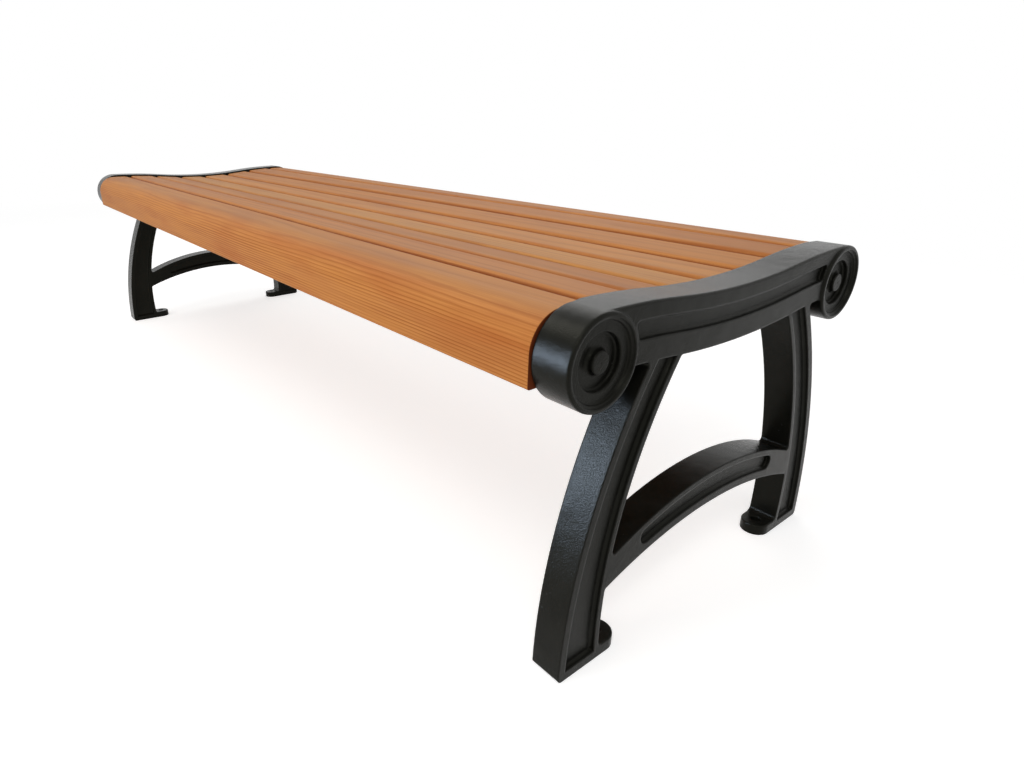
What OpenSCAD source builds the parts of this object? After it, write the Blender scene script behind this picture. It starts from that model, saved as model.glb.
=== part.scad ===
// Backless garden bench: two cast end frames carry six seat slats and two
// deep nose slats, and a flat bar under the middle ties the slats together.
// X runs along the bench, Y from its front edge to its back edge, Z up.
// The origin is on the ground under the middle of the seat.

/* [Bench] */
// Length over the outer faces of the two end frames
bench_length = 1829; // [1200:1:2400]
// Height of the tops of the scrolls above the ground
seat_height = 429; // [400:1:460]
// Distance between the front and the back scroll centres
scroll_spacing = 484; // [472:1:520]

/* [Scrolls] */
// Radius of each scroll
scroll_radius = 50; // [46:0.5:56]
// Thickness of the scroll along the bench
scroll_width = 47; // [42:0.5:60]
// How far a scroll face stands out from the leg and rail faces
scroll_proud = 3; // [1:0.5:5]
// Round on the outer edges of the scroll
scroll_edge = 3; // [1:0.5:5]
// Width of the flat rim round the scroll face
scroll_rim = 5.5; // [4:0.5:8]
// Depth of the narrow step inside the rim
scroll_step_depth = 2.5; // [1.5:0.5:4]
// Width of the narrow step inside the rim
scroll_step = 3; // [2:0.5:5]
// Depth of the ring-shaped floor below the rim
scroll_ring_depth = 6; // [5:0.5:8]
// Radius of the deep cup in the middle of the scroll
scroll_cup_radius = 29.5; // [26:0.5:32]
// Depth of the cup below the rim
scroll_cup_depth = 12.5; // [10:0.5:18]
// Radius of the round boss in the cup
boss_radius = 12; // [8:0.5:15]
// How far the top of the boss lies below the rim
boss_drop = 5; // [2:0.5:8]

/* [Top rail] */
// How far the rail dips in the middle below the tops of the scrolls
rail_dip = 13; // [6:0.5:20]
// Half the width of the hollow part of the dip
dip_half_width = 120; // [90:1:150]
// Height of the rail from its top to its underside
rail_depth = 63; // [56:1:72]
// Round on the top edges of the rail
rail_edge = 3; // [1:0.5:5]
// How far the cap stands inward of the legs, beside the slat ends
cap_lap = 7.7; // [6:0.1:12]
// Height of the cap
cap_depth = 14; // [10:1:20]
// Depth of the long panel in the outer face
panel_recess = 6; // [4:0.5:8]
// Distance of the panel below the top of the rail
panel_top_margin = 17.5; // [12:0.5:22]
// Distance of the panel above the underside of the rail
panel_bottom_margin = 25; // [20:0.5:30]
// Band of metal left between the panel and each scroll
panel_end_margin = 3; // [2:0.5:8]
// Round in the corners of the panel
panel_corner = 5; // [3:0.5:7]

/* [Legs] */
// How far the foot stands back from the front of the scroll
foot_setback = 20.8; // [10:0.1:40]
// Depth of the foot on the ground, front to back
foot_depth = 67.5; // [60:0.5:76]
// Gap between the scroll and the leg, at the lowest level of the rail
leg_scroll_gap = 20.6; // [17:0.1:30]
// Depth of the leg at the lowest level of the rail
leg_top_depth = 55.1; // [48:0.1:64]
// Radius of the leg's outer edge
leg_outer_radius = 708; // [600:1:900]
// Radius of the leg's inner edge
leg_inner_radius = 577; // [500:1:700]
// Depth of the channel in each face of the leg
leg_recess = 6; // [4:0.5:9]
// Thickness of the flange along the leg's outer edge
leg_outer_flange = 10.5; // [8:0.5:13]
// Thickness of the flange along the leg's inner edge
leg_inner_flange = 7.5; // [6.5:0.5:10]
// Thickness of the sole under the channel
sole_depth = 12.5; // [9:0.5:16]
// Round at the outer corner of the foot
foot_corner = 6; // [3:0.5:8]

/* [Arched stretcher] */
// Height of the crown of the arch above the ground
arch_height = 179.7; // [160:0.1:200]
// Height of the arch from its top to its underside, at the crown
arch_depth = 45.7; // [40:0.1:52]
// Radius of the upper edge of the arch
arch_top_radius = 491; // [450:1:560]
// Radius of the underside of the arch
arch_bottom_radius = 598; // [560:1:680]
// Depth of the channel in each face of the arch
arch_recess = 5.5; // [4:0.5:9]
// Thickness of the flange along the top of the arch
arch_top_flange = 8; // [6:0.5:11]
// Thickness of the flange along the underside of the arch
arch_bottom_flange = 11; // [8:0.5:14]
// Half the length of the channel in the arch
arch_channel_half = 148; // [120:1:160]

/* [Casting details] */
// Round on the outer edges of the lugs and the inner edge of the scrolls
edge_round = 2; // [1:0.5:3]
// Small round on the inner edges of the channels
lip_round = 1; // [0.5:0.25:1.5]
// Fillet along the floors of the channels
floor_fillet = 4; // [2:0.5:5]
// Fillet in the corners where legs, arch, rail and scroll meet
corner_fillet = 5; // [3:0.5:7]

/* [Feet] */
// Thickness of the lug at the foot
lug_height = 16; // [12:1:20]
// Distance of the anchor hole from the leg's inner edge on the ground
anchor_inset = 17.7; // [15:0.1:24]
// Diameter of the anchor hole
anchor_hole = 14; // [10:0.5:18]
// Fillet between the lug and the leg
lug_fillet = 6; // [3:0.5:9]

/* [Seat slats] */
// Number of slats between the two nose slats
slat_count = 6; // [6:1:6]
// Width of a seat slat
slat_width = 63.5; // [60:0.1:65]
// Thickness of a seat slat
slat_thickness = 38; // [32:0.5:40]
// Gap between neighbouring slats
slat_gap = 7; // [5:0.1:8]
// Round on the top edges of the slats
slat_round = 8; // [3:0.5:10]
// Round on the bottom edges of the slats
slat_bottom_round = 3; // [1:0.5:4]
// How far the slats lie below the top of the rail
slat_drop = 4; // [2:0.5:8]
// Gap between the end of a seat slat and the cap of the rail
slat_end_gap = 1; // [0.5:0.5:3]

/* [Nose slats] */
// How far the nose stands out in front of the scroll
nose_proud = 1; // [0:0.5:3]
// How far the top of the nose lies below the top of the scroll
nose_drop = 4.5; // [3:0.5:8]
// Height of the nose, from its top to its lower edge
nose_height = 74.5; // [60:0.5:84]
// Radius of the nose from its top to its front face
nose_round = 40; // [30:1:44]
// Thickness of the lip that hangs down in front of the frame's seat
nose_lip = 28; // [22:1:32]
// Gap between the end of a nose slat and the scroll
nose_end_gap = 1.5; // [0.5:0.5:3]

/* [Seat and strap] */
// How far the seat for the slats reaches in from the cap
ledge_reach = 45; // [35:1:60]
// Thickness of the seat for the slats
ledge_depth = 8; // [6:0.5:12]
// Width of the support strap under the middle of the slats
strap_width = 40; // [30:1:50]
// Thickness of the support strap
strap_depth = 6; // [4:0.5:8]

/* [Fasteners] */
// Diameter of the lag screws
screw_diameter = 8; // [6:0.5:10]
// Length of the lag screws under the head
screw_length = 38; // [30:1:40]
// Width of the hexagon head across its flats
head_across = 13; // [11:0.5:16]
// Height of the hexagon head
head_height = 5.5; // [4:0.5:7]
// Diameter of the washers
washer_diameter = 20; // [18:0.5:24]
// Thickness of the washers
washer_depth = 1.8; // [1:0.1:2.5]

/* [Hidden] */

$fn = 256;

iron = "#26282b";
timber = "#bd8550";
steel = "#a3a6a8";

// How far shapes that become one casting are sunk into each other
sink = 4;
// How far a cutting shape runs past the faces that it cuts
past = 1;
// Clearance round a screw in timber
pilot_gap = 0.15;
// Clearance round a screw in metal and in its washer
hole_gap = 0.6;
// Clearance between a nose slat and the metal beside it
nose_gap = 2;
// Clearance between a nose slat and the thin end of the cap above it
lip_gap = 0.5;
// Turn by which the arcs of the rail run into each other, in degrees
arc_overlap = 0.05;
// Amount by which the round of a fillet runs into the curve that it meets
fillet_overlap = 0.002;

// ---- Places shared by the castings, slats and fasteners ----

scroll_y = scroll_spacing / 2;
scroll_z = seat_height - scroll_radius;
frame_x = (bench_length - scroll_width) / 2;
leg_width = scroll_width - 2 * scroll_proud;

// The rail's top is a hollow arc in the middle that turns smoothly into a
// rounded shoulder on each side, level again where it reaches the scroll
rail_low = seat_height - rail_dip;
rail_turn = 2 * atan(rail_dip / scroll_y);
dip_radius = dip_half_width / sin(rail_turn);
dip_centre = [0, rail_low + dip_radius];
shoulder_radius = (scroll_y - dip_half_width) / sin(rail_turn);
shoulder_centre = [scroll_y, seat_height - shoulder_radius];
cap_face = leg_width / 2 + cap_lap;

function rail_top(y) =
    abs(y) < dip_half_width
        ? dip_centre[1] - sqrt(pow(dip_radius, 2) - pow(y, 2))
        : shoulder_centre[1] + sqrt(pow(shoulder_radius, 2) - pow(scroll_y - abs(y), 2));

function rail_tilt(y) =
    abs(y) < dip_half_width
        ? asin(y / dip_radius)
        : sign(y) * asin((scroll_y - abs(y)) / shoulder_radius);

// Legs: each edge is one arc through a point on the ground and a point at
// the lowest level of the rail's underside
leg_top_z = rail_low - rail_depth;
foot_reach = scroll_y + scroll_radius - foot_setback;
foot_inner = foot_reach - foot_depth;
leg_top_reach = scroll_y - scroll_radius - leg_scroll_gap;
leg_outer_centre = arc_centre([foot_reach, 0], [leg_top_reach, leg_top_z], leg_outer_radius);
leg_inner_centre = arc_centre(
    [foot_inner, 0], [leg_top_reach - leg_top_depth, leg_top_z], leg_inner_radius
);
// The legs run on into the rail, up to this level
leg_end_z = leg_top_z + panel_bottom_margin / 2;
leg_web = leg_width - 2 * leg_recess;

arch_top_centre = [0, arch_height - arch_top_radius];
arch_bottom_centre = [0, arch_height - arch_depth - arch_bottom_radius];
arch_web = leg_width - 2 * arch_recess;

anchor_y = foot_inner - anchor_inset;

// Slats
slat_pitch = slat_width + slat_gap;
nose_inner = (slat_count * slat_pitch + slat_gap) / 2;
cap_end = nose_inner - nose_gap;
nose_outer = scroll_y + scroll_radius + nose_proud;
nose_top = seat_height - nose_drop;
nose_seat_z = nose_top - slat_thickness;
nose_seat_end = nose_outer - nose_lip;
seat_end = nose_seat_end - nose_gap;
slat_half = frame_x - cap_face - slat_end_gap;
nose_half = frame_x - scroll_width / 2 - nose_end_gap;

// Middle of each slat's bearing face, as [y, z, tilt], from front to back
front_nose_seat = [-(nose_inner + seat_end) / 2, nose_seat_z, 0];
rear_nose_seat = [(nose_inner + seat_end) / 2, nose_seat_z, 0];
seats = concat(
    [front_nose_seat],
    [for (i = [1:slat_count]) slat_seat((i - (slat_count + 1) / 2) * slat_pitch)],
    [rear_nose_seat]
);

function slat_seat(y) =
    let (tilt = rail_tilt(y), z = rail_top(y) - slat_drop)
        [y + slat_thickness * sin(tilt), z - slat_thickness * cos(tilt), tilt];

// Line of the undersides of all the slats, which the metal under them follows
underside = concat(
    [[-seat_end, nose_seat_z], [-nose_inner, nose_seat_z]],
    [for (i = [1:slat_count], side = [-1, 1]) underside_corner(seats[i], side)],
    [[nose_inner, nose_seat_z], [seat_end, nose_seat_z]]
);

function underside_corner(seat, side) =
    [seat[0], seat[1]] + side * slat_width / 2 * [cos(seat[2]), sin(seat[2])];

// Fasteners
strap_x = 0;
ledge_x = frame_x - cap_face - ledge_reach / 2;
washer_bore = screw_diameter + hole_gap;
ledge_hole = screw_diameter + 2 * hole_gap;
screw_tip = screw_diameter / 2;

// ---- Geometry helpers ----

function unit(v) = v / norm(v);

function quarter_turn(v) = [-v[1], v[0]];

// Point at distance r from c, in the direction of p
function towards(c, p, r) = c + unit(p - c) * r;

// Centre of the arc of radius r that runs from p to q, bulging to the right
function arc_centre(p, q, r) =
    (p + q) / 2 + quarter_turn(unit(q - p)) * sqrt(pow(r, 2) - pow(norm(q - p) / 2, 2));

// Crossing of two circles; side picks the left (1) or right (-1) of c1 to c2
function crossing(c1, r1, c2, r2, side) =
    let (
        d = norm(c2 - c1),
        along = (pow(d, 2) + pow(r1, 2) - pow(r2, 2)) / (2 * d),
        across = sqrt(pow(r1, 2) - pow(along, 2)),
        u = unit(c2 - c1)
    )
        c1 + u * along + quarter_turn(u) * across * side;

// Point of a circle at height z, on its +Y side
function at_level(c, r, z) = [c[0] + sqrt(pow(r, 2) - pow(z - c[1], 2)), z];

// Angle on a circle of a point at height z
function level_angle(c, r, z) = asin((z - c[1]) / r);

// Outline whose corners, given as [x, y, radius], are turned into rounds
function rounded(corners) =
    let (n = len(corners))
        [
            for (i = [0:n - 1])
                each corner_points(corners[(i + n - 1) % n], corners[i], corners[(i + 1) % n])
        ];

function corner_points(before, corner, after) =
    let (b = [corner[0], corner[1]], r = corner[2])
        r == 0
            ? [b]
            : let (
                  u = unit([before[0], before[1]] - b),
                  v = unit([after[0], after[1]] - b),
                  half = acos(u * v) / 2,
                  centre = b + unit(u + v) * r / sin(half),
                  start = b + u * r / tan(half) - centre,
                  from = atan2(start[1], start[0]),
                  turn = (180 - 2 * half) * sign(v[0] * u[1] - v[1] * u[0]),
                  steps = round_steps(r)
              )
                  [for (k = [0:steps]) centre + r * direction(from + turn * k / steps)];

function round_steps(r) = min(16, max(3, ceil(r * 0.9)));

function direction(a) = [cos(a), sin(a)];

// Stands a shape drawn in the plane of an end frame upright: its X runs
// front to back, its Y up, and its Z along the bench
module stand_up() {
    rotate([90, 0, 90]) children();
}

module front_and_back() {
    children();
    mirror([1, 0, 0]) children();
}

// Bar of a given section carried round an arc; the section's first axis runs
// from the edge of radius r away from (1) or towards (-1) the arc's centre
module arc_bar(centre, r, inward, section, from, to) {
    translate(centre)
        rotate_extrude(start = from, angle = to - from)
            polygon([for (p = section) [r + inward * p[0], p[1]]]);
}

module plate(thickness) {
    translate([0, 0, -thickness / 2])
        linear_extrude(thickness)
            children();
}

module disc(centre, r) {
    translate(centre) circle(r);
}

// Region between a corner and the round of radius r that touches its sides,
// sunk a little into the metal on both sides
module corner_web(centre, touch1, touch2, corner, r) {
    difference() {
        polygon(concat([centre], [for (p = [touch1, corner, touch2]) p + past * unit(p - centre)]));
        disc(centre, r + fillet_overlap);
    }
}

// Fillet between two arcs; s1 and s2 say on which side of each arc the open
// corner lies, outside (1) or inside (-1)
module arc_fillet(c1, r1, s1, c2, r2, s2, side, r) {
    centre = crossing(c1, r1 + s1 * r, c2, r2 + s2 * r, side);
    corner = crossing(c1, r1, c2, r2, side);
    corner_web(centre, towards(c1, centre, r1), towards(c2, centre, r2), corner, r);
}

// ---- End frame ----

// Fillet along the foot of a wall; its first axis runs from the wall into
// the channel, and its second is the height above the casting's middle plane
function fillet_section(floor, r) =
    let (steps = round_steps(r))
        concat(
            [[-past, floor + r], [-past, floor - past], [r, floor - past]],
            [for (k = [0:steps]) [r, floor + r] + r * direction(-90 - 90 * k / steps)]
        );

module wall_fillet(centre, r, inward, floor, from, to) {
    arc_bar(centre, r, inward, fillet_section(floor, floor_round(leg_width / 2 - floor)), from, to);
}

function floor_round(depth) = min(floor_fillet, depth - lip_round);

module both_faces() {
    children();
    mirror([0, 0, 1]) children();
}

// Part of a ring between two directions from its centre
module ring_sector(centre, inner, outer, from, to) {
    intersection() {
        difference() {
            disc(centre, outer);
            disc(centre, inner);
        }
        polygon([centre, centre + 2 * outer * direction(from), centre + 2 * outer * direction(to)]);
    }
}

// Band along the rail, between two depths below its top
module rail_outline(top, bottom) {
    half_turn = rail_turn + arc_overlap;
    ring_sector(dip_centre, dip_radius + top, dip_radius + bottom, -90 - half_turn, -90 + half_turn);
    front_and_back()
        ring_sector(
            shoulder_centre, shoulder_radius - bottom, shoulder_radius - top, 90, 90 + rail_turn
        );
}

// Region between two curves that start at the leg's inner and outer edges
module leg_outline(inset_inner, inset_outer, from_z, to_z) {
    intersection() {
        difference() {
            disc(leg_outer_centre, leg_outer_radius - inset_outer);
            disc(leg_inner_centre, leg_inner_radius + inset_inner);
        }
        translate([0, from_z]) square([foot_reach + past, to_z - from_z]);
    }
}

// Region between two curves that start at the edges of the arch
module arch_outline(inset_top, inset_bottom) {
    difference() {
        disc(arch_top_centre, arch_top_radius - inset_top);
        disc(arch_bottom_centre, arch_bottom_radius + inset_bottom);
    }
}

module arch_between_legs() {
    intersection() {
        arch_outline(0, 0);
        disc(leg_inner_centre, leg_inner_radius + sink);
        mirror([1, 0, 0]) disc(leg_inner_centre, leg_inner_radius + sink);
    }
}

// Outer corner of the foot, taken off to leave a round
module foot_corner_round() {
    centre = at_level(leg_outer_centre, leg_outer_radius - foot_corner, foot_corner);
    corner_web(
        centre,
        towards(leg_outer_centre, centre, leg_outer_radius),
        [centre[0], 0],
        at_level(leg_outer_centre, leg_outer_radius, 0),
        foot_corner
    );
}

module lug_corner() {
    centre = at_level(leg_inner_centre, leg_inner_radius - lug_fillet, lug_height + lug_fillet);
    corner_web(
        centre,
        towards(leg_inner_centre, centre, leg_inner_radius),
        [centre[0], lug_height],
        at_level(leg_inner_centre, leg_inner_radius, lug_height),
        lug_fillet
    );
}

// Fillets in the open corners between scroll, rail, leg and arch
module frame_corners() {
    shoulder_under = shoulder_radius - rail_depth;
    dip_under = dip_radius + rail_depth;
    arc_fillet(
        [scroll_y, scroll_z], scroll_radius, 1,
        shoulder_centre, shoulder_under, -1, -1, corner_fillet
    );
    arc_fillet(
        leg_outer_centre, leg_outer_radius, 1,
        shoulder_centre, shoulder_under, -1, 1, corner_fillet
    );
    arc_fillet(
        leg_inner_centre, leg_inner_radius, -1,
        dip_centre, dip_under, 1, -1, corner_fillet
    );
    arc_fillet(
        leg_inner_centre, leg_inner_radius, -1,
        arch_top_centre, arch_top_radius, 1, 1, corner_fillet
    );
    arc_fillet(
        leg_inner_centre, leg_inner_radius, -1,
        arch_bottom_centre, arch_bottom_radius, -1, 1, corner_fillet
    );
}

module frame_outline() {
    rail_outline(0, rail_depth);
    arch_between_legs();
    front_and_back() {
        difference() {
            leg_outline(0, 0, 0, leg_end_z);
            foot_corner_round();
        }
        frame_corners();
        lug_corner();
    }
}

// Metal outside a round on an edge; the section's second axis is the height
// above the middle plane, and the edge lies at this height
function edge_section(height, r) =
    let (steps = round_steps(r))
        concat(
            [[r, height + past], [-past, height + past], [-past, height - r]],
            [for (k = [0:steps]) [r, height - r] + r * direction(180 - 90 * k / steps)]
        );

// Bar of a section that follows the rail's curve from scroll to scroll
module rail_bar(section) {
    half_turn = rail_turn + arc_overlap;
    arc_bar(dip_centre, dip_radius, 1, section, -90 - half_turn, -90 + half_turn);
    front_and_back()
        arc_bar(shoulder_centre, shoulder_radius, -1, section, 90, 90 + rail_turn);
}

module rail_panel_cut() {
    floor = leg_width / 2 - panel_recess;
    panel_bottom = rail_depth - panel_bottom_margin;
    r = floor_round(panel_recess);
    difference() {
        translate([0, 0, floor])
            linear_extrude(panel_recess + past)
                difference() {
                    rail_outline(panel_top_margin, panel_bottom);
                    front_and_back() {
                        disc([scroll_y, scroll_z], scroll_radius + panel_end_margin);
                        panel_corner_round(panel_top_margin, -1);
                        panel_corner_round(panel_bottom, 1);
                    }
                }
        rail_bar([for (p = fillet_section(floor, r)) [panel_top_margin + p[0], p[1]]]);
        rail_bar([for (p = fillet_section(floor, r)) [panel_bottom - p[0], p[1]]]);
    }
}

// Round in a corner of the panel, beside the scroll
module panel_corner_round(depth, side) {
    arc_fillet(
        [scroll_y, scroll_z], scroll_radius + panel_end_margin, 1,
        shoulder_centre, shoulder_radius - depth, side, -1, panel_corner
    );
}

module leg_channel_cut() {
    floor = leg_web / 2;
    outer_wall = leg_outer_radius - leg_outer_flange;
    inner_wall = leg_inner_radius + leg_inner_flange;
    r = floor_round(leg_recess);
    both_faces()
        difference() {
            translate([0, 0, floor])
                linear_extrude(leg_recess + past)
                    difference() {
                        leg_outline(leg_inner_flange, leg_outer_flange, sole_depth, leg_end_z);
                        rail_outline(0, rail_depth);
                    }
            wall_fillet(
                leg_outer_centre, outer_wall, -1, floor,
                level_angle(leg_outer_centre, outer_wall, 0),
                level_angle(leg_outer_centre, outer_wall, leg_end_z)
            );
            wall_fillet(
                leg_inner_centre, inner_wall, 1, floor,
                level_angle(leg_inner_centre, inner_wall, 0),
                level_angle(leg_inner_centre, inner_wall, leg_end_z)
            );
            translate([leg_top_reach - leg_top_depth, sole_depth, 0])
                rotate([90, 0, 90])
                    linear_extrude(foot_reach)
                        polygon(fillet_section(floor, r));
        }
}

// The channel's end is one round between the walls of the arch's flanges
module arch_channel_outline() {
    top_r = arch_top_radius - arch_top_flange;
    bottom_r = arch_bottom_radius + arch_bottom_flange;
    crown_gap = arch_depth - arch_top_flange - arch_bottom_flange;
    y = arch_channel_half - crown_gap / 2;
    top_z = arch_top_centre[1] + sqrt(pow(top_r, 2) - pow(y, 2));
    bottom_z = arch_bottom_centre[1] + sqrt(pow(bottom_r, 2) - pow(y, 2));
    tilt = (asin(y / top_r) + asin(y / bottom_r)) / 2;
    centre = [y, (top_z + bottom_z) / 2];
    far = foot_reach;
    intersection() {
        arch_outline(arch_top_flange, arch_bottom_flange);
        union() {
            intersection_for(side = [-1, 1])
                scale([side, 1, 1])
                    translate(centre)
                        rotate(-tilt)
                            translate([-2 * far, -far])
                                square([2 * far, 2 * far]);
            front_and_back() disc(centre, (top_z - bottom_z) / 2 * cos(tilt));
        }
    }
}

module arch_channel_cut() {
    floor = arch_web / 2;
    top_wall = arch_top_radius - arch_top_flange;
    bottom_wall = arch_bottom_radius + arch_bottom_flange;
    top_turn = asin(arch_channel_half / top_wall);
    bottom_turn = asin(arch_channel_half / bottom_wall);
    both_faces()
        difference() {
            translate([0, 0, floor])
                linear_extrude(arch_recess + past)
                    arch_channel_outline();
            wall_fillet(arch_top_centre, top_wall, -1, floor, 90 - top_turn, 90 + top_turn);
            wall_fillet(arch_bottom_centre, bottom_wall, 1, floor, 90 - bottom_turn, 90 + bottom_turn);
        }
}

module lug() {
    half = leg_width / 2;
    translate([anchor_y, 0, 0])
        rotate([-90, 0, 0])
            rotate_extrude()
                polygon(rounded([
                    [0, 0, 0], [half, 0, 0],
                    [half, lug_height, edge_round], [0, lug_height, 0],
                ]));
    translate([anchor_y, 0, 0])
        rotate([90, 0, 90])
            linear_extrude(anchor_inset + sink)
                polygon(rounded([
                    [0, -half, 0], [lug_height, -half, edge_round],
                    [lug_height, half, edge_round], [0, half, 0],
                ]));
}

module scroll_blank() {
    half = scroll_width / 2;
    translate([scroll_y, scroll_z, 0])
        rotate_extrude()
            polygon(rounded([
                [0, -half, 0],
                [scroll_radius, -half, edge_round],
                [scroll_radius, half, scroll_edge],
                [0, half, 0],
            ]));
}

// Stepped rings, cup and boss of the scroll's outer face
module scroll_face_cut() {
    face = scroll_width / 2;
    rim_r = scroll_radius - scroll_rim;
    translate([scroll_y, scroll_z, 0]) {
        rotate_extrude()
            polygon(rounded([
                [0, face + past, 0],
                [rim_r, face + past, 0],
                [rim_r, face - scroll_step_depth, lip_round],
                [rim_r - scroll_step, face - scroll_step_depth, lip_round],
                [rim_r - scroll_step, face - scroll_ring_depth, 2 * lip_round],
                [scroll_cup_radius, face - scroll_ring_depth, lip_round],
                [scroll_cup_radius, face - scroll_cup_depth, 2 * lip_round],
                [boss_radius, face - scroll_cup_depth, floor_fillet],
                [boss_radius, face - boss_drop, lip_round],
                [0, face - boss_drop, 0],
            ]));
        translate([0, 0, face - boss_drop - lip_round])
            cylinder(h = 2 * lip_round, r1 = 0, r2 = 2 * lip_round);
    }
}

// Bar under the slats, with a flat for each one; depth is its thickness
module bearing_outline(depth) {
    n = len(underside);
    polygon(concat(underside, [for (i = [n - 1:-1:0]) underside[i] - [0, depth]]));
}

// Cap along the top of the rail, within an outline
module cap_slab() {
    translate([0, 0, -cap_face])
        linear_extrude(cap_lap + sink)
            intersection() {
                rail_outline(0, cap_depth);
                children();
            }
}

// Thin end of the cap, which lies over a nose slat and narrows to the scroll
module cap_lip() {
    metal = -leg_width / 2 + sink;
    intersection() {
        cap_slab()
            translate([cap_end - sink, nose_top + lip_gap])
                square([scroll_y - cap_end + sink, cap_depth]);
        translate([0, seat_height + past, 0])
            rotate([90, 0, 0])
                linear_extrude(cap_depth)
                    polygon([
                        [cap_end - sink - past, metal + past],
                        [cap_end - sink - past, -cap_face - past],
                        [cap_end, -cap_face - past],
                        [cap_end, -cap_face],
                        [scroll_y, edge_round - scroll_width / 2],
                        [scroll_y, metal + past],
                    ]);
    }
}

// Legs, arch and rail: one plate with channels in its faces and a cap along
// its top, which is thin over the nose slats because they run on to the scroll
module frame_plate() {
    half = leg_width / 2;
    difference() {
        union() {
            plate(leg_width) frame_outline();
            cap_slab()
                square(2 * [cap_end, seat_height], center = true);
            front_and_back() cap_lip();
        }
        rail_bar(edge_section(half, rail_edge));
        mirror([0, 0, 1]) rail_bar(edge_section(cap_face, rail_edge));
        rail_panel_cut();
        arch_channel_cut();
        front_and_back() leg_channel_cut();
    }
}

module end_frame_casting() {
    difference() {
        union() {
            frame_plate();
            front_and_back() {
                scroll_blank();
                lug();
            }
            translate([0, 0, -cap_face - ledge_reach])
                linear_extrude(ledge_reach + cap_lap + sink)
                    bearing_outline(ledge_depth);
        }
        front_and_back() scroll_face_cut();
    }
}

module end_frame() {
    color(iron)
        difference() {
            translate([frame_x, 0, 0]) stand_up() end_frame_casting();
            for (y = [-anchor_y, anchor_y])
                translate([frame_x, y, -past])
                    cylinder(h = lug_height + 2 * past, d = anchor_hole);
            for (seat = seats)
                at_seat(seat, ledge_x)
                    translate([0, 0, -ledge_depth - past])
                        cylinder(h = ledge_depth + 2 * past, d = ledge_hole);
        }
}

module right_end_frame() {
    end_frame();
}

module left_end_frame() {
    mirror([1, 0, 0]) end_frame();
}

// ---- Slats ----

// Puts a shape at a slat's bearing face, with +Z square to that face
module at_seat(seat, x) {
    translate([x, seat[0], seat[1]])
        rotate([seat[2], 0, 0])
            children();
}

// Pilot holes for the screws, as deep as the screws reach
module pilot_holes(seat) {
    for (place = [[-ledge_x, ledge_depth], [strap_x, strap_depth], [ledge_x, ledge_depth]]) {
        reach = screw_length - washer_depth - place[1] * cos(seat[2]);
        at_seat(seat, place[0])
            translate([0, 0, -past])
                cylinder(h = reach + 2 * past, d = screw_diameter + 2 * pilot_gap);
    }
}

module seat_slat(i) {
    seat = seats[i];
    half = slat_width / 2;
    color(timber)
        difference() {
            at_seat(seat, -slat_half)
                stand_up()
                    linear_extrude(2 * slat_half)
                        polygon(rounded([
                            [-half, 0, slat_bottom_round],
                            [half, 0, slat_bottom_round],
                            [half, slat_thickness, slat_round],
                            [-half, slat_thickness, slat_round],
                        ]));
            pilot_holes(seat);
        }
}

module rear_nose_slat() {
    bottom = nose_top - nose_height;
    color(timber)
        difference() {
            translate([-nose_half, 0, 0])
                stand_up()
                    linear_extrude(2 * nose_half)
                        polygon(rounded([
                            [nose_inner, nose_seat_z, slat_bottom_round],
                            [nose_seat_end, nose_seat_z, 0],
                            [nose_seat_end, bottom, slat_bottom_round],
                            [nose_outer, bottom, slat_bottom_round],
                            [nose_outer, nose_top, nose_round],
                            [nose_inner, nose_top, slat_round],
                        ]));
            pilot_holes(rear_nose_seat);
        }
}

module front_nose_slat() {
    mirror([0, 1, 0]) rear_nose_slat();
}

// ---- Strap and fasteners ----

module centre_support_strap() {
    color(iron)
        difference() {
            translate([strap_x - strap_width / 2, 0, 0])
                stand_up()
                    linear_extrude(strap_width)
                        bearing_outline(strap_depth);
            for (seat = seats)
                at_seat(seat, strap_x)
                    translate([0, 0, -strap_depth - past])
                        cylinder(h = strap_depth + 2 * past, d = ledge_hole);
        }
}

// Repeats a fastener at the two frames and at the strap, against the metal
module at_fixings(seat) {
    for (place = [[-ledge_x, ledge_depth], [strap_x, strap_depth], [ledge_x, ledge_depth]])
        at_seat(seat, place[0])
            translate([0, 0, -place[1] * cos(seat[2])])
                children();
}

module washer() {
    translate([0, 0, -washer_depth])
        difference() {
            cylinder(h = washer_depth, d = washer_diameter);
            translate([0, 0, -past]) cylinder(h = washer_depth + 2 * past, d = washer_bore);
        }
}

module lag_screw() {
    translate([0, 0, -washer_depth]) {
        translate([0, 0, -head_height])
            cylinder(h = head_height, d = head_across / cos(30), $fn = 6);
        cylinder(h = screw_length - screw_tip, d = screw_diameter);
        translate([0, 0, screw_length - screw_tip])
            cylinder(h = screw_tip, d1 = screw_diameter, d2 = 1);
    }
}

module slat_screws(i) {
    color(steel) at_fixings(seats[i]) lag_screw();
}

module slat_washers(i) {
    color(steel) at_fixings(seats[i]) washer();
}

right_end_frame();
left_end_frame();
front_nose_slat();
seat_slat(1);  // seat_slat_1
seat_slat(2);  // seat_slat_2
seat_slat(3);  // seat_slat_3
seat_slat(4);  // seat_slat_4
seat_slat(5);  // seat_slat_5
seat_slat(6);  // seat_slat_6
rear_nose_slat();
centre_support_strap();
slat_screws(0);  // front_nose_screws
slat_screws(1);  // seat_slat_1_screws
slat_screws(2);  // seat_slat_2_screws
slat_screws(3);  // seat_slat_3_screws
slat_screws(4);  // seat_slat_4_screws
slat_screws(5);  // seat_slat_5_screws
slat_screws(6);  // seat_slat_6_screws
slat_screws(7);  // rear_nose_screws
slat_washers(0);  // front_nose_washers
slat_washers(1);  // seat_slat_1_washers
slat_washers(2);  // seat_slat_2_washers
slat_washers(3);  // seat_slat_3_washers
slat_washers(4);  // seat_slat_4_washers
slat_washers(5);  // seat_slat_5_washers
slat_washers(6);  // seat_slat_6_washers
slat_washers(7);  // rear_nose_washers
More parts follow.
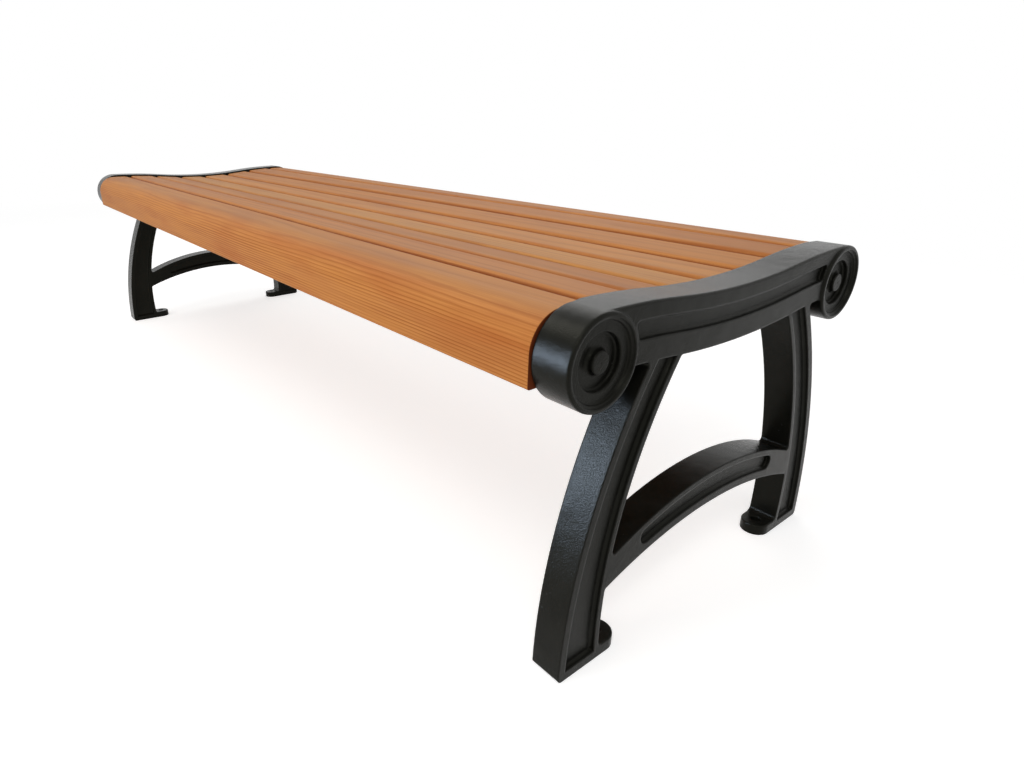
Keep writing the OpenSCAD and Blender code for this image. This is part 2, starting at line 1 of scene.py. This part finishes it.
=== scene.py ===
import math

import bmesh
import bpy
from mathutils import Matrix, Vector


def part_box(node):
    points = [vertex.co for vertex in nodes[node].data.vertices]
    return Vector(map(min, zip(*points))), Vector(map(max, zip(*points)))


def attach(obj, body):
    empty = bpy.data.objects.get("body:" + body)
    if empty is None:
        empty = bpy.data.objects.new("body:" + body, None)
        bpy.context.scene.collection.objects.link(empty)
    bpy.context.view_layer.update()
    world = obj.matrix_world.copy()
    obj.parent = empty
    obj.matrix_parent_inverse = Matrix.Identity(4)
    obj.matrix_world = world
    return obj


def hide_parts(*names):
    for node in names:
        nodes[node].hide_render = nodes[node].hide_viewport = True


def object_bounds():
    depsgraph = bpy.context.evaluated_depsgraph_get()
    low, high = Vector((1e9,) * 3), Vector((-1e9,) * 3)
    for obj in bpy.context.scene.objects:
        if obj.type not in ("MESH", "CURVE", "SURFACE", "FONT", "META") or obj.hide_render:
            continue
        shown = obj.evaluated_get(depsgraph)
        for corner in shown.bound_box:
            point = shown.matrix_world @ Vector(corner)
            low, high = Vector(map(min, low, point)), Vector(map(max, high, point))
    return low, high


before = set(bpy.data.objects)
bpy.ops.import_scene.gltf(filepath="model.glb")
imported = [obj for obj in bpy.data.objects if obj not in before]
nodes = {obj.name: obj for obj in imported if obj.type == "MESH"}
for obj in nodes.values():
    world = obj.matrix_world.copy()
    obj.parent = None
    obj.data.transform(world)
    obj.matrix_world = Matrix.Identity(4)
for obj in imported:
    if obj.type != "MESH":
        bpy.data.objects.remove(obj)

scene = bpy.context.scene
cadBox = [list(map(float, corner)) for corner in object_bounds()]
print("bench loaded:", len(nodes), "nodes")


# The helpers put nodes at (x, y) in a tree's editor and return the socket to carry on from
def addNode(tree, kind, x, y, **settings):
    node = tree.nodes.new(kind)
    node.location = (x, y)
    for name, value in settings.items():
        setattr(node, name, value)
    return node


def join(tree, source, target):
    tree.links.new(source, target)


# puts a link, a number, a vector or a colour into an input
def feed(tree, target, value):
    if isinstance(value, bpy.types.NodeSocket):
        join(tree, value, target)
    elif isinstance(value, (int, float)):
        target.default_value = value
    else:
        target.default_value = (*value, 1) if len(target.default_value) == 4 else value


def mathNode(tree, operation, x, y, a, b=None, clamp=False):
    node = addNode(tree, "ShaderNodeMath", x, y, operation=operation, use_clamp=clamp)
    feed(tree, node.inputs[0], a)
    if b is not None:
        feed(tree, node.inputs[1], b)
    return node.outputs[0]


def vectorNode(tree, operation, x, y, a, b=None):
    node = addNode(tree, "ShaderNodeVectorMath", x, y, operation=operation)
    join(tree, a, node.inputs[0])
    if b is not None:
        join(tree, b, node.inputs[1])
    return node.outputs


def split(tree, x, y, vector):
    node = addNode(tree, "ShaderNodeSeparateXYZ", x, y)
    join(tree, vector, node.inputs[0])
    return node.outputs


def splitNormal(tree, x, y):
    geometry = addNode(tree, "ShaderNodeNewGeometry", x - 200, y)
    return split(tree, x, y, geometry.outputs["Normal"])


def mixColour(tree, x, y, factor, a, b):
    node = addNode(tree, "ShaderNodeMix", x, y, data_type="RGBA")
    for slot, value in zip((0, 6, 7), (factor, a, b)):    # factor and both colours
        feed(tree, node.inputs[slot], value)
    return node.outputs[2]


# grey ramp through (place, value) stops
def ramp(tree, x, y, source, stops):
    node = addNode(tree, "ShaderNodeValToRGB", x, y)
    elements = node.color_ramp.elements
    while len(elements) < len(stops):
        elements.new(0.5)
    for element, (place, value) in zip(elements, stops):
        element.position = place
        element.color = (value, value, value, 1)
    join(tree, source, node.inputs[0])
    return node.outputs[0]


# carries the values in span over to result in proportion, and holds them at its ends
def spread(tree, x, y, source, result, span=(0.0, 1.0)):
    node = addNode(tree, "ShaderNodeMapRange", x, y)
    for slot, value in enumerate((source, *span, *result)):
        feed(tree, node.inputs[slot], value)
    return node.outputs[0]


def noise(tree, x, y, vector, scale, detail=2.0, roughness=0.5):
    node = addNode(tree, "ShaderNodeTexNoise", x, y)
    settings = {"Vector": vector, "Scale": scale, "Detail": detail, "Roughness": roughness}
    for label, value in settings.items():
        feed(tree, node.inputs[label], value)
    return node.outputs[0]


def stretched(tree, x, y, vector, scale):
    node = addNode(tree, "ShaderNodeMapping", x, y)
    node.inputs["Scale"].default_value = scale
    join(tree, vector, node.inputs["Vector"])
    return node.outputs[0]


# noise with a fineness of its own along each axis
def drawnNoise(tree, x, y, vector, fineness, detail, roughness=0.5):
    return noise(tree, x, y, stretched(tree, x - 200, y, vector, fineness), 1.0, detail, roughness)


def bump(tree, x, y, height, depth, under=None):
    node = addNode(tree, "ShaderNodeBump", x, y)
    node.inputs["Distance"].default_value = depth
    join(tree, height, node.inputs["Height"])
    if under is not None:
        join(tree, under, node.inputs["Normal"])
    return node.outputs[0]


def emptyTree(owner):
    owner.use_nodes = True
    owner.node_tree.nodes.clear()
    return owner.node_tree


def startGroup(name, inputs, outputs):
    tree = bpy.data.node_groups.new(name, "ShaderNodeTree")
    for side, sockets in (("INPUT", inputs), ("OUTPUT", outputs)):
        for label, kind in sockets.items():
            tree.interface.new_socket(label, in_out=side, socket_type="NodeSocket" + kind)
    start = addNode(tree, "NodeGroupInput", -1400, 0)
    end = addNode(tree, "NodeGroupOutput", 900, 0)
    return tree, start.outputs, end.inputs


def useGroup(tree, group, x, y, values):
    node = addNode(tree, "ShaderNodeGroup", x, y, node_tree=group)
    for label, value in values.items():
        feed(tree, node.inputs[label], value)
    return node.outputs


def startMaterial(name):
    material = bpy.data.materials.new(name)
    tree = emptyTree(material)
    output = addNode(tree, "ShaderNodeOutputMaterial", 1300, 0)
    shader = addNode(tree, "ShaderNodeBsdfPrincipled", 1000, 0)
    join(tree, shader.outputs[0], output.inputs[0])
    place = addNode(tree, "ShaderNodeTexCoord", -1500, 0).outputs["Object"]
    return material, tree, shader, place


def addObject(name, data):
    item = bpy.data.objects.new(name, data)
    scene.collection.objects.link(item)
    return item


def coat(mesh, material):
    mesh.materials.clear()
    mesh.materials.append(material)


grainShape = dict(                # fineness is along, across and up the board
    slowWander=(1.7, 8, 8),
    quickWander=(14, 60, 60),
    quickShare=0.16,
    fibre=(7, 560, 560),
    cloud=(4.5, 24, 24),
    ring=[(0.0, 0.10), (0.30, 0.0), (0.60, 0.25), (0.80, 1.0), (0.90, 0.95), (1.0, 0.10)],
    fade=(3, 45, 45),             # where the rings show less
    fadeStops=[(0.32, 0.35), (0.62, 1.0)],
)


# Growth rings of a board: the distance from the pith line, which runs along X, plus a slow
# and a quick wander, divided by the ring width. The whole part counts the rings, and the
# rest is the place within one
def buildBoardGrain(values):
    tree, start, end = startGroup(
        "boardGrain",
        {
            "Place": "Vector", "Shift": "Vector", "Pith Y": "Float", "Pith Z": "Float",
            "Ring Width": "Float", "Wander": "Float",
        },
        {"Rings": "Float", "Fibre": "Float", "Cloud": "Float"},
    )
    spot = vectorNode(tree, "ADD", -1200, 200, start["Place"], start["Shift"])[0]
    parts = split(tree, -1200, -100, start["Place"])
    acrossY = mathNode(tree, "SUBTRACT", -1000, -50, parts[1], start["Pith Y"])
    acrossZ = mathNode(tree, "SUBTRACT", -1000, -200, parts[2], start["Pith Z"])
    squared = mathNode(
        tree, "ADD", -650, -100,
        mathNode(tree, "MULTIPLY", -820, -50, acrossY, acrossY),
        mathNode(tree, "MULTIPLY", -820, -200, acrossZ, acrossZ),
    )
    distance = mathNode(tree, "SQRT", -500, -100, squared)
    slow = drawnNoise(tree, -820, 300, spot, values["slowWander"], 1.0)
    quick = drawnNoise(tree, -820, 120, spot, values["quickWander"], 2.0)
    quick = mathNode(tree, "MULTIPLY", -650, 120, quick, values["quickShare"])
    bent = mathNode(tree, "ADD", -500, 250, slow, quick)
    wander = mathNode(tree, "MULTIPLY", -350, 250, bent, start["Wander"])
    length = mathNode(tree, "ADD", -350, -50, distance, wander)
    turns = mathNode(tree, "DIVIDE", -200, -50, length, start["Ring Width"])
    rings = ramp(tree, 100, -50, mathNode(tree, "FRACT", -50, -50, turns), values["ring"])
    fade = drawnNoise(tree, -500, -400, spot, values["fade"], 2.0)
    shown = ramp(tree, -200, -400, fade, values["fadeStops"])
    join(tree, mathNode(tree, "MULTIPLY", 400, -50, rings, shown), end["Rings"])
    join(tree, drawnNoise(tree, -500, 560, spot, values["fibre"], 3.0, 0.6), end["Fibre"])
    join(tree, drawnNoise(tree, -500, 780, spot, values["cloud"], 3.0), end["Cloud"])
    return tree


rubbedSheenEdges = dict(samples=6, patchScale=90.0, patches=[(0.4, 0.15), (0.7, 1.0)])


# Soft edges, their wear and a painted sheen on them: the normal is rounded over the radius,
# and the mask is one minus the dot product of the rounded and the true normal, times patches and
# the amount
def buildSoftEdges(values):
    tree, start, end = startGroup(
        "softEdges",
        {"Place": "Vector", "Radius": "Float", "Amount": "Float"},
        {"Mask": "Float", "Normal": "Vector"},
    )
    bevel = addNode(tree, "ShaderNodeBevel", -800, 0, samples=values["samples"])
    join(tree, start["Radius"], bevel.inputs["Radius"])
    rounded = bevel.outputs[0]
    geometry = addNode(tree, "ShaderNodeNewGeometry", -800, -200)
    dot = vectorNode(tree, "DOT_PRODUCT", -600, -100, rounded, geometry.outputs["Normal"])
    turned = mathNode(tree, "SUBTRACT", -400, -100, 1.0, dot["Value"])
    patches = noise(tree, -600, 300, start["Place"], values["patchScale"], 3.0, 0.6)
    patches = ramp(tree, -400, 300, patches, values["patches"])
    rough = mathNode(tree, "MULTIPLY", -200, 100, turned, patches)
    mask = mathNode(tree, "MULTIPLY", 0, 0, rough, start["Amount"], clamp=True)
    join(tree, mask, end["Mask"])
    join(tree, rounded, end["Normal"])
    return tree


gapShadeAndDirt = dict(samples=6, patchScale=60.0, patches=(0.75, 1.25))


# Painted shade in the gaps, with some dirt: the mask is the share of the open air that is
# hidden within reach, times patches
def buildGapShade(values):
    tree, start, end = startGroup(
        "gapShade", {"Place": "Vector", "Reach": "Float"}, {"Mask": "Float"}
    )
    air = addNode(tree, "ShaderNodeAmbientOcclusion", -600, 0, samples=values["samples"])
    join(tree, start["Reach"], air.inputs["Distance"])
    patches = noise(tree, -600, 300, start["Place"], values["patchScale"], 3.0, 0.6)
    patches = spread(tree, -400, 300, patches, values["patches"])
    covered = mathNode(tree, "SUBTRACT", -400, 0, 1.0, air.outputs["AO"])
    mask = mathNode(tree, "MULTIPLY", -200, 0, covered, patches, clamp=True)
    join(tree, mask, end["Mask"])
    return tree


boardGrain = buildBoardGrain(grainShape)
softEdges = buildSoftEdges(rubbedSheenEdges)
gapShade = buildGapShade(gapShadeAndDirt)

castPaint = dict(
    paint=(0.0050, 0.0051, 0.0040),
    thinPaint=(0.0080, 0.0081, 0.0066),
    wornAndSheen=(0.030, 0.029, 0.026),         # rubbed paint and a painted sheen along the edges
    bare=(0.034, 0.035, 0.036),         # in the flecks
    dust=(0.018, 0.018, 0.016),         # on what faces up
    roughness=(0.16, 0.27),
    ior=1.18,
    sheenTint=(1.0, 1.0, 0.84),         # the paint's gloss leans to green
    mottleScale=22.0,
    mottle=[(0.35, 0.0), (0.7, 1.0)],
    dustFacing=[(0.6, 0.0), (1.0, 0.5)],
    dustPatches=[(0.35, 0.3), (0.7, 1.0)],
    edgeRadius=0.0030,
    edgeWearAndSheen=1.3,
    peelScale=640.0,                    # grain of the sand under the paint
    peelDepth=0.00031,
    lumpScale=38.0,                     # slow unevenness of the mould
    lumpDepth=0.0006,
    fleckScale=330.0,
    flecks=[(0.71, 0.0), (0.77, 1.0)],
    fleckPatchScale=21.0,
    fleckPatches=[(0.58, 0.0), (0.66, 1.0)],
    fleckDepth=0.0002,
    draft=0.026,                        # slope of the legs' edges to their parting line
    draftEnds=(0.30, 0.34),             # the heights between which it dies away
)


# Dark satin paint over cast iron. The parting ridge falls by the draft for each metre from
# the middle plane of a casting
def buildCastPaint(values):
    material, tree, shader, place = startMaterial("castPaint")
    edges = useGroup(tree, softEdges, -700, -500, {
        "Place": place, "Radius": values["edgeRadius"], "Amount": values["edgeWearAndSheen"],
    })
    peel = noise(tree, -900, -100, place, values["peelScale"], 3.0, 0.6)
    lumps = noise(tree, -900, -300, place, values["lumpScale"])
    mottle = noise(tree, -900, 150, place, values["mottleScale"], 4.0, 0.6)
    thin = ramp(tree, -300, 300, mottle, values["mottle"])
    base = mixColour(tree, -50, 300, thin, values["paint"], values["thinPaint"])
    dusty = mathNode(
        tree, "MULTIPLY", -300, 500,
        ramp(tree, -550, 550, splitNormal(tree, -700, 550)[2], values["dustFacing"]),
        ramp(tree, -550, 300, mottle, values["dustPatches"]),
    )
    base = mixColour(tree, 150, 300, dusty, base, values["dust"])
    # rubbed paint and a painted sheen lighten the edges
    base = mixColour(tree, 350, 300, edges["Mask"], base, values["wornAndSheen"])
    specks = noise(tree, -500, 900, place, values["fleckScale"], 1.0)
    speckPatches = noise(tree, -500, 1100, place, values["fleckPatchScale"])
    flecks = mathNode(
        tree, "MULTIPLY", 150, 900,
        ramp(tree, -300, 900, specks, values["flecks"]),
        ramp(tree, -300, 1100, speckPatches, values["fleckPatches"]),
    )
    base = mixColour(tree, 550, 300, flecks, base, values["bare"])
    join(tree, base, shader.inputs["Base Color"])
    roughness = spread(tree, 150, 0, mottle, values["roughness"])
    join(tree, roughness, shader.inputs["Roughness"])

    middle = sum(corner[0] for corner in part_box("right_end_frame")) / 2
    parts = split(tree, -1200, -800, place)
    outward = mathNode(tree, "ABSOLUTE", -1050, -800, parts[0])
    outward = mathNode(tree, "SUBTRACT", -900, -800, outward, middle)
    fromMiddle = mathNode(tree, "ABSOLUTE", -700, -800, outward)
    fall = mathNode(tree, "MULTIPLY", -500, -800, fromMiddle, -values["draft"])
    onLegs = spread(tree, -500, -1000, parts[2], (1.0, 0.0), values["draftEnds"])
    ridge = mathNode(tree, "MULTIPLY", -300, -800, fall, onLegs)
    normal = bump(tree, 200, -500, ridge, 1.0, edges["Normal"])
    normal = bump(tree, 400, -400, lumps, values["lumpDepth"], normal)
    normal = bump(tree, 600, -300, peel, values["peelDepth"], normal)
    normal = bump(tree, 800, -300, flecks, -values["fleckDepth"], normal)
    join(tree, normal, shader.inputs["Normal"])
    shader.inputs["IOR"].default_value = values["ior"]
    shader.inputs["Specular Tint"].default_value = (*values["sheenTint"], 1)
    return material


woodTones = dict(
    early=(0.545, 0.226, 0.064),
    late=(0.270, 0.066, 0.010),
    glow=(0.60, 0.250, 0.058),          # warmer patches
    glowPatches=[(0.40, 0.0), (0.70, 0.55)],
    flush=(0.43, 0.122, 0.026),         # redder patches
    flushPatches=[(0.28, 0.55), (0.50, 0.0)],
    redShift=(0.03, -0.07, -0.05),      # what a board's redness adds to red, green and blue
    patternShift=(1.37, 0.71, 0.43),    # from one board's pattern to the next one's
    wander=0.009,                       # how far the rings stray
    ringStrength=0.84,
    topStrength=0.46,                   # the rings are fainter on the tops
    sideToTop=(0.2, 0.8),
    fibreStrength=0.36,
    fibres=[(0.30, 1.0), (0.62, 0.0)],
    # the tone of the painted sheen on the tops, with some bleaching
    sheenBleachTone=(0.400, 0.220, 0.105),
    topSheenBleach=0.34,
    topFacing=(0.75, 0.99),
    edgeSheenBleach=0.36,                    # the share of the painted sheen and bleaching left beside the gaps
    edgeZone=(0.52, 0.86),              # where it drops, in shares of half a board's width
    cloudSheenBleach=(1.30, 0.70),
    cloudSpan=(0.32, 0.68),
    gapShadeTone=(0.230, 0.056, 0.018),      # painted shade deep between the slats, with some stain
    gapShadeReach=0.016,
    gapShadeStops=[(0.15, 0.0), (0.42, 1.0)],
    endGrain=(0.150, 0.032, 0.009),
    endFacing=[(0.6, 0.0), (0.85, 1.0)],
    roughness=(0.46, 0.62),
    ringRelief=0.5,
    grainDepth=0.0001,
    ior=1.19,
    edgeRadius=0.0022,
    edgeWearAndSheen=1.0,
)
boards = {   # pith place across the bench and in height, ring width, shade, redness
    "front_nose_slat": dict(pithY=-0.180, pithZ=0.020, ring=0.0037, shade=1.00, red=0.00),
    "seat_slat_1": dict(pithY=-0.150, pithZ=0.300, ring=0.0048, shade=0.98, red=0.25),
    "seat_slat_2": dict(pithY=-0.120, pithZ=0.220, ring=0.0060, shade=0.98, red=0.05),
    "seat_slat_3": dict(pithY=-0.010, pithZ=0.330, ring=0.0045, shade=1.08, red=-0.80),
    "seat_slat_4": dict(pithY=0.060, pithZ=0.250, ring=0.0055, shade=1.10, red=-0.25),
    "seat_slat_5": dict(pithY=0.080, pithZ=0.300, ring=0.0050, shade=1.00, red=0.15),
    "seat_slat_6": dict(pithY=0.190, pithZ=0.200, ring=0.0062, shade=0.98, red=0.25),
    "rear_nose_slat": dict(pithY=0.170, pithZ=0.050, ring=0.0044, shade=1.00, red=0.10),
}


# how strongly a board takes the painted sheen and bleaching: by how far it faces up, times
# the share kept across its width, times the clouds
def sheenBleachMask(tree, name, place, up, cloud, values):
    low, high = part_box(name)
    middle, half = (low[1] + high[1]) / 2, (high[1] - low[1]) / 2
    zone = [share * half for share in values["edgeZone"]]
    offset = mathNode(tree, "SUBTRACT", -1100, 1000, split(tree, -1300, 1000, place)[1], middle)
    toEdge = mathNode(tree, "ABSOLUTE", -900, 1000, offset)
    kept = spread(tree, -700, 1000, toEdge, (1.0, values["edgeSheenBleach"]), zone)
    uneven = spread(tree, -700, 1200, cloud, values["cloudSheenBleach"], values["cloudSpan"])
    kept = mathNode(tree, "MULTIPLY", -500, 1000, kept, uneven)
    top = spread(tree, -300, 400, up, (0.0, values["topSheenBleach"]), values["topFacing"])
    return mathNode(tree, "MULTIPLY", -100, 400, top, kept)


# Stained softwood: early wood, then warm and red patches, late wood in the rings and the
# fibres, a painted sheen with some bleaching on the tops, painted shade with some stain in the
# gaps and dark ends, each laid over the last
def buildBoardMaterial(name, index, board, values):
    material, tree, shader, place = startMaterial("wood_" + name)
    grain = useGroup(tree, boardGrain, -1000, 0, {
        "Place": place, "Shift": tuple(step * index for step in values["patternShift"]),
        "Pith Y": board["pithY"], "Pith Z": board["pithZ"],
        "Ring Width": board["ring"], "Wander": values["wander"],
    })
    rings, fibre, cloud = grain["Rings"], grain["Fibre"], grain["Cloud"]
    edges = useGroup(tree, softEdges, -1000, -600, {
        "Place": place, "Radius": values["edgeRadius"], "Amount": values["edgeWearAndSheen"],
    })
    tint = [board["shade"] * (1 + shift * board["red"]) for shift in values["redShift"]]
    tones = ("early", "late", "glow", "flush", "sheenBleachTone")
    early, late, glow, flush, sheenBleachTone = (
        [part * change for part, change in zip(values[tone], tint)] for tone in tones
    )
    warm = ramp(tree, -700, -400, cloud, values["glowPatches"])
    base = mixColour(tree, -450, 200, warm, early, glow)
    reddish = ramp(tree, -700, -550, cloud, values["flushPatches"])
    base = mixColour(tree, -300, 200, reddish, base, flush)
    facing = splitNormal(tree, -900, 600)
    strengths = (values["ringStrength"], values["topStrength"])
    ringShow = spread(tree, -700, 400, facing[2], strengths, values["sideToTop"])
    ringMask = mathNode(tree, "MULTIPLY", -500, 100, rings, ringShow)
    base = mixColour(tree, -150, 200, ringMask, base, late)
    streak = ramp(tree, -700, -150, fibre, values["fibres"])
    streak = mathNode(tree, "MULTIPLY", -450, -150, streak, values["fibreStrength"])
    base = mixColour(tree, 50, 200, streak, base, late)
    # painted sheen, with some bleaching, on what faces up
    pale = sheenBleachMask(tree, name, place, facing[2], cloud, values)
    base = mixColour(tree, 120, 200, pale, base, sheenBleachTone)
    # painted shade in the gaps, from the hidden share of the open air, with some stain
    deep = useGroup(tree, gapShade, -300, 800, {"Place": place, "Reach": values["gapShadeReach"]})
    gap = ramp(tree, -50, 800, deep["Mask"], values["gapShadeStops"])
    base = mixColour(tree, 180, 300, gap, base, values["gapShadeTone"])
    endways = mathNode(tree, "ABSOLUTE", -250, 600, facing[0])
    cut = ramp(tree, -50, 600, endways, values["endFacing"])
    base = mixColour(tree, 300, 300, cut, base, values["endGrain"])
    join(tree, base, shader.inputs["Base Color"])
    roughness = spread(tree, 50, -100, fibre, values["roughness"])
    join(tree, roughness, shader.inputs["Roughness"])
    raised = mathNode(tree, "MULTIPLY", -150, -350, rings, values["ringRelief"])
    height = mathNode(tree, "ADD", 50, -400, raised, fibre)
    normal = bump(tree, 350, -400, height, values["grainDepth"], edges["Normal"])
    join(tree, normal, shader.inputs["Normal"])
    shader.inputs["IOR"].default_value = values["ior"]
    return material


zincPlate = dict(
    colour=(0.55, 0.56, 0.57),
    dull=(0.30, 0.30, 0.30),
    roughness=(0.28, 0.48),
    spangleScale=420.0,
    spangles=[(0.4, 0.0), (0.7, 1.0)],
    turning=(900, 900, 120),            # tool marks round a head
    turningDepth=0.00003,
)


def buildZincPlate(values):
    material, tree, shader, place = startMaterial("zincPlate")
    spangle = noise(tree, -700, 100, place, values["spangleScale"], 4.0, 0.65)
    turned = drawnNoise(tree, -700, -200, place, values["turning"], 2.0)
    patches = ramp(tree, -450, 200, spangle, values["spangles"])
    colour = mixColour(tree, -200, 200, patches, values["colour"], values["dull"])
    join(tree, colour, shader.inputs["Base Color"])
    roughness = spread(tree, -200, -50, spangle, values["roughness"])
    join(tree, roughness, shader.inputs["Roughness"])
    normal = bump(tree, -200, -300, turned, values["turningDepth"])
    join(tree, normal, shader.inputs["Normal"])
    shader.inputs["Metallic"].default_value = 1.0
    return material


smoothing = dict(mergeWithin=0.00001, tinyEdge=0.000001, sharpAngle=28, flatFaces=90)


# A merged copy of a node stands for the node. An edge stays sharp where its faces turn by
# the sharp angle or more, and large flat faces weigh most in the normals
def dress(name, node, material):
    mesh = nodes[node].data.copy()
    mesh.name = name
    shell = bmesh.new()
    shell.from_mesh(mesh)
    bmesh.ops.remove_doubles(shell, verts=shell.verts, dist=smoothing["mergeWithin"])
    bmesh.ops.dissolve_degenerate(shell, dist=smoothing["tinyEdge"], edges=shell.edges)
    for face in shell.faces:
        face.smooth = True
    sharpFrom = math.radians(smoothing["sharpAngle"])
    for edge in shell.edges:
        edge.smooth = len(edge.link_faces) == 2 and edge.calc_face_angle(0) < sharpFrom
    shell.to_mesh(mesh)
    shell.free()
    coat(mesh, material)
    piece = addObject(name, mesh)
    weighted = piece.modifiers.new("flatFaces", "WEIGHTED_NORMAL")
    weighted.mode = "FACE_AREA"
    weighted.weight = smoothing["flatFaces"]
    weighted.keep_sharp = True
    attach(piece, "root")
    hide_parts(node)
    return piece


ironMaterial = buildCastPaint(castPaint)
castings = {
    side: dress(side + "_casting", side + "_end_frame", ironMaterial)
    for side in ("right", "left")
}
print("castings painted")

for index, (node, board) in enumerate(boards.items()):
    dress(node + "_board", node, buildBoardMaterial(node, index, board, woodTones))
print("slats finished")

dress("under_seat_strap", "centre_support_strap", ironMaterial)
steel = buildZincPlate(zincPlate)
for node in nodes:
    if node.endswith(("_screws", "_washers")):
        coat(nodes[node].data, steel)
print("strap and fasteners finished")

studio = dict(
    floorSize=60.0,
    floorColour=(0.80, 0.80, 0.80),
    floorGlow=0.58,
    whiteFrom=1.1,            # distance from the middle where the floor starts to turn white
    whiteTo=2.6,
    whiteShape=(0.6, 1, 1),   # distances along the bench count for less
    worldFill=0.38,
    # place, aimed at, width and height, power, colour, and what a lamp lights: all, matt
    # surfaces, gloss, or nearGloss, which is the gloss of the right casting alone
    lamps=[
        ((-1.45, 1.95, 2.40), (0.4, 0.0, 0.4), (2.0, 1.6), 14, (1.0, 0.99, 0.97), "all"),
        ((2.00, -1.80, 2.60), (0.5, -0.1, 0.4), (1.2, 1.2), 26, (1.0, 0.98, 0.95), "all"),
        ((-0.60, -0.80, 3.20), (-0.2, 0.0, 0.3), (2.6, 1.8), 16, (1.0, 0.99, 0.97), "matt"),
        ((0.20, -3.40, 1.30), (0.1, -0.2, 0.4), (1.5, 1.4), 42, (1.0, 0.99, 0.97), "matt"),
        ((-0.40, -2.03, 0.44), (0.9, -0.2, 0.3), (0.58, 0.86), 82, (0.58, 0.71, 1.0), "nearGloss"),
        ((-0.66, 2.57, 1.11), (0.9, 0.0, 0.4), (1.6, 0.9), 1.1, (1.0, 1.0, 1.0), "gloss"),
        ((-1.60, -1.00, 3.00), (0.9, -0.2, 0.4), (1.6, 1.2), 26, (1.0, 0.98, 0.93), "gloss"),
    ],
)


# 1 for rays that the camera, gloss or glass sends out, 0 for light on the bench
def seenRays(tree, x, y):
    rays = addNode(tree, "ShaderNodeLightPath", x, y).outputs
    direct = mathNode(tree, "MAXIMUM", x + 180, y, rays["Is Camera Ray"], rays["Is Glossy Ray"])
    return mathNode(tree, "MAXIMUM", x + 360, y, direct, rays["Is Transmission Ray"])


# A pale matt floor with a glow that only seen rays meet, and that turns white in
# proportion to the distance from the bench
def buildFloor(values):
    size = values["floorSize"]
    corners = [(-size, -size, 0), (size, -size, 0), (size, size, 0), (-size, size, 0)]
    mesh = bpy.data.meshes.new("floor")
    mesh.from_pydata(corners, [], [(0, 1, 2, 3)])
    floor = addObject("floor", mesh)
    floor.location = (0, 0, cadBox[0][2])
    material = bpy.data.materials.new("paleFloor")
    tree = emptyTree(material)
    output = addNode(tree, "ShaderNodeOutputMaterial", 800, 0)
    matt = addNode(tree, "ShaderNodeBsdfDiffuse", 0, 100)
    matt.inputs["Color"].default_value = (*values["floorColour"], 1)
    seen = seenRays(tree, -700, -100)
    glow = addNode(tree, "ShaderNodeEmission", 0, -100)
    glowing = mathNode(tree, "MULTIPLY", -150, -100, seen, values["floorGlow"])
    join(tree, glowing, glow.inputs["Strength"])
    near = addNode(tree, "ShaderNodeAddShader", 250, 0)
    join(tree, matt.outputs[0], near.inputs[0])
    join(tree, glow.outputs[0], near.inputs[1])
    white = addNode(tree, "ShaderNodeEmission", 250, -250)
    spot = addNode(tree, "ShaderNodeTexCoord", -900, -400).outputs["Object"]
    spot = stretched(tree, -700, -400, spot, values["whiteShape"])
    away = vectorNode(tree, "LENGTH", -500, -400, spot)["Value"]
    fade = spread(tree, -300, -400, away, (0.0, 1.0), (values["whiteFrom"], values["whiteTo"]))
    mixed = addNode(tree, "ShaderNodeMixShader", 550, 0)
    join(tree, mathNode(tree, "MULTIPLY", 0, -400, fade, seen), mixed.inputs[0])
    join(tree, near.outputs[0], mixed.inputs[1])
    join(tree, white.outputs[0], mixed.inputs[2])
    join(tree, mixed.outputs[0], output.inputs[0])
    mesh.materials.append(material)


# white to seen rays, and a dimmer fill light on the bench
def buildWorld(values):
    scene.world = bpy.data.worlds.new("paleStudio")
    tree = emptyTree(scene.world)
    output = addNode(tree, "ShaderNodeOutputWorld", 400, 0)
    sky = addNode(tree, "ShaderNodeBackground", 200, 0)
    strength = spread(tree, -80, 0, seenRays(tree, -700, 0), (values["worldFill"], 1.0))
    join(tree, strength, sky.inputs["Strength"])
    join(tree, sky.outputs[0], output.inputs[0])
    sky.inputs["Color"].default_value = (1, 1, 1, 1)


def buildLamps(values, nearCasting):
    nearIron = bpy.data.collections.new("nearIron")
    nearIron.objects.link(nearCasting)
    for index, (place, aim, size, power, colour, lights) in enumerate(values["lamps"]):
        lamp = bpy.data.lights.new(f"softLamp{index}", "AREA")
        lamp.shape = "RECTANGLE"
        lamp.size, lamp.size_y = size
        lamp.energy, lamp.color = power, colour
        holder = addObject(f"softLamp{index}", lamp)
        holder.location = place
        turn = (Vector(aim) - Vector(place)).to_track_quat("-Z", "Y")
        holder.rotation_euler = turn.to_euler()
        holder.visible_camera = False
        holder.visible_diffuse = lights in ("all", "matt")
        holder.visible_glossy = lights != "matt"
        if lights == "nearGloss":
            holder.light_linking.receiver_collection = nearIron


view = dict(
    place=(1.2700, -0.6969, 0.5942),
    right=(0.621978, 0.783024, -0.004075),     # which way is right in the view
    down=(0.304758, -0.246865, -0.919880),
    lens=22.987,
    sensor=36,
    shift=(0.05336, 0.00522),
    clip=(0.02, 200),
)


# the camera's axes are right, up made square to it, and their cross product
def buildCamera(values):
    data = bpy.data.cameras.new("viewer")
    data.lens, data.sensor_width = values["lens"], values["sensor"]
    data.shift_x, data.shift_y = values["shift"]
    data.clip_start, data.clip_end = values["clip"]
    camera = addObject("viewer", data)
    right = Vector(values["right"]).normalized()
    up = -Vector(values["down"])
    up = (up - up.dot(right) * right).normalized()
    turn = Matrix((right, up, right.cross(up))).transposed().to_4x4()
    camera.matrix_world = Matrix.Translation(values["place"]) @ turn
    scene.camera = camera


buildFloor(studio)
buildWorld(studio)
buildLamps(studio, castings["right"])
buildCamera(view)
scene.view_settings.view_transform = "Standard"
print("studio and camera set")
